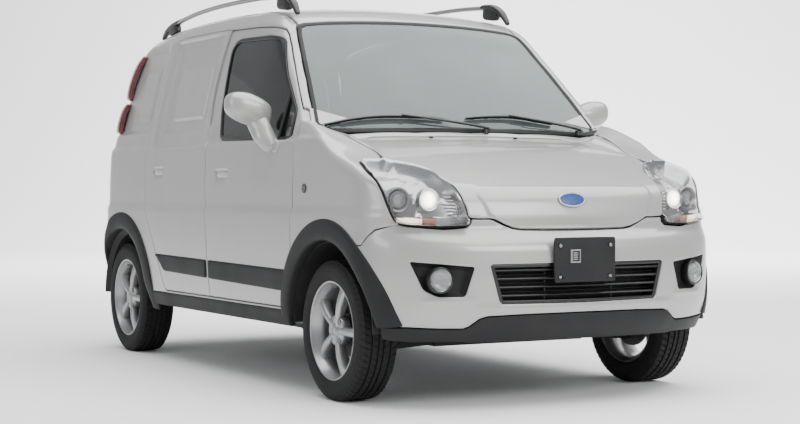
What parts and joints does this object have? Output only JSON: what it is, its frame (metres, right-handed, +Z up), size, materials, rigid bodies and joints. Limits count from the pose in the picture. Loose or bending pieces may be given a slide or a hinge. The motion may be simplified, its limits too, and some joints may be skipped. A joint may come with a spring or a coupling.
{
  "type": "electric panel van",
  "caption": "Small electric panel van with hinged doors, lift gate and hood, steered front wheels, a load floor behind two seats, and black arch and sill trim.",
  "frame": {"origin": "on the ground, under the middle of the overall box; Z = 0 is the plane the tyres stand on", "axes": "+Z up, the van faces -Y, its right side is -X"},
  "size_m": [1.9006, 3.4, 1.6872],
  "materials": {
    "paint": "silver-white metallic paint, clear coat",
    "black_plastic": "grained black plastic",
    "tyre": "black rubber",
    "seal_rubber": "soft black rubber",
    "alloy": "silver lacquered alloy",
    "side_glass": "dark tinted",
    "screen_glass": "faintly green laminated",
    "chassis": "black underbody coat",
    "battery_case": "grey powder coat",
    "clear_lens": "clear polycarbonate",
    "lamp_chrome": "metallised reflector",
    "red_lens": "red transparent lens",
    "cabin_plastic": "grey grained plastic",
    "seat_fabric": "woven dark grey cloth",
    "rail_metal": "satin silver"
  },
  "bodies": {
    "body": {"arch_flares": "black_plastic", "battery_pack": "battery_case", "body_sides": "paint", "cowl_panel": "paint", "dashboard": "cabin_plastic", "door_seals": "seal_rubber", "drive_motor": "chassis", "fenders": "paint", "floor_pan": "chassis", "fog_lamps": "lamp_chrome", "front_bumper": "paint", "front_suspension": "chassis", "front_valance": "black_plastic", "grille": "black_plastic", "headlight_housings": "lamp_chrome", "headlight_lenses": "clear_lens", "plate_bracket": "black_plastic", "rear_axle": "chassis", "rear_bumper": "paint", "roof_panel": "paint", "roof_rails": "rail_metal", "seats": "seat_fabric", "sill_covers": "black_plastic", "tail_lights": "red_lens", "windscreen": "screen_glass", "wipers": "black_plastic"},
    "front_door_right": {"front_door_right": "paint", "front_door_glass_right": "side_glass", "door_mirror_right": "paint", "front_rub_strip_right": "black_plastic"},
    "rear_door_right": {"rear_door_right": "paint", "rear_rub_strip_right": "black_plastic"},
    "steering_right": {"knuckle_right": "chassis"},
    "front_wheel_right": {"wheel_front_right": "alloy", "tyre_front_right": "tyre"},
    "rear_wheel_right": {"wheel_rear_right": "alloy", "tyre_rear_right": "tyre"},
    "front_door_left": {"front_door_left": "paint", "front_door_glass_left": "side_glass", "door_mirror_left": "paint", "front_rub_strip_left": "black_plastic"},
    "rear_door_left": {"rear_door_left": "paint", "rear_rub_strip_left": "black_plastic"},
    "steering_left": {"knuckle_left": "chassis"},
    "front_wheel_left": {"wheel_front_left": "alloy", "tyre_front_left": "tyre"},
    "rear_wheel_left": {"wheel_rear_left": "alloy", "tyre_rear_left": "tyre"},
    "tailgate": {"tailgate": "paint", "tailgate_glass": "side_glass"},
    "hood": {"hood": "paint"},
    "steering_wheel": {"steering_wheel": "cabin_plastic"}
  },
  "joints": [
    {"name": "front_door_hinge_right", "type": "hinge", "parent": "body", "child": "front_door_right", "pos_m": [-0.782, -0.77, 0.7], "axis": [0, 0, 1], "range_deg": [0, 68]},
    {"name": "rear_door_hinge_right", "type": "hinge", "parent": "body", "child": "rear_door_right", "pos_m": [-0.782, 0.11, 0.7], "axis": [0, 0, 1], "range_deg": [0, 68]},
    {"name": "steer_right", "type": "hinge", "parent": "body", "child": "steering_right", "pos_m": [-0.622, -1.09, 0.19], "axis": [0.1976, 0.0338, 0.9797], "range_deg": [-33, 33]},
    {"name": "front_wheel_spin_right", "type": "hinge", "parent": "steering_right", "child": "front_wheel_right", "pos_m": [-0.683, -1.09, 0.27], "axis": [1, 0, 0], "continuous": true},
    {"name": "rear_wheel_spin_right", "type": "hinge", "parent": "body", "child": "rear_wheel_right", "pos_m": [-0.683, 1.245, 0.27], "axis": [1, 0, 0], "continuous": true},
    {"name": "front_door_hinge_left", "type": "hinge", "parent": "body", "child": "front_door_left", "pos_m": [0.782, -0.77, 0.7], "axis": [0, 0, -1], "range_deg": [0, 68]},
    {"name": "rear_door_hinge_left", "type": "hinge", "parent": "body", "child": "rear_door_left", "pos_m": [0.782, 0.11, 0.7], "axis": [0, 0, -1], "range_deg": [0, 68]},
    {"name": "steer_left", "type": "hinge", "parent": "body", "child": "steering_left", "pos_m": [0.622, -1.09, 0.19], "axis": [-0.1976, 0.0338, 0.9797], "range_deg": [-33, 33]},
    {"name": "front_wheel_spin_left", "type": "hinge", "parent": "steering_left", "child": "front_wheel_left", "pos_m": [0.683, -1.09, 0.27], "axis": [1, 0, 0], "continuous": true},
    {"name": "rear_wheel_spin_left", "type": "hinge", "parent": "body", "child": "rear_wheel_left", "pos_m": [0.683, 1.245, 0.27], "axis": [1, 0, 0], "continuous": true},
    {"name": "tailgate_hinge", "type": "hinge", "parent": "body", "child": "tailgate", "pos_m": [0, 1.455, 1.543], "axis": [1, 0, 0], "range_deg": [0, 80]},
    {"name": "hood_hinge", "type": "hinge", "parent": "body", "child": "hood", "pos_m": [0, -0.828, 1.03], "axis": [-1, 0, 0], "range_deg": [0, 50]},
    {"name": "steering_wheel_turn", "type": "hinge", "parent": "body", "child": "steering_wheel", "pos_m": [0.37, -0.348, 1], "axis": [0, 0.8387, 0.5446], "range_deg": [-540, 540]}
  ],
  "couplings": [
    {"joint": "steer_left", "follows": "steer_right", "ratio": 1},
    {"joint": "steering_wheel_turn", "follows": "steer_right", "ratio": 16}
  ]
}
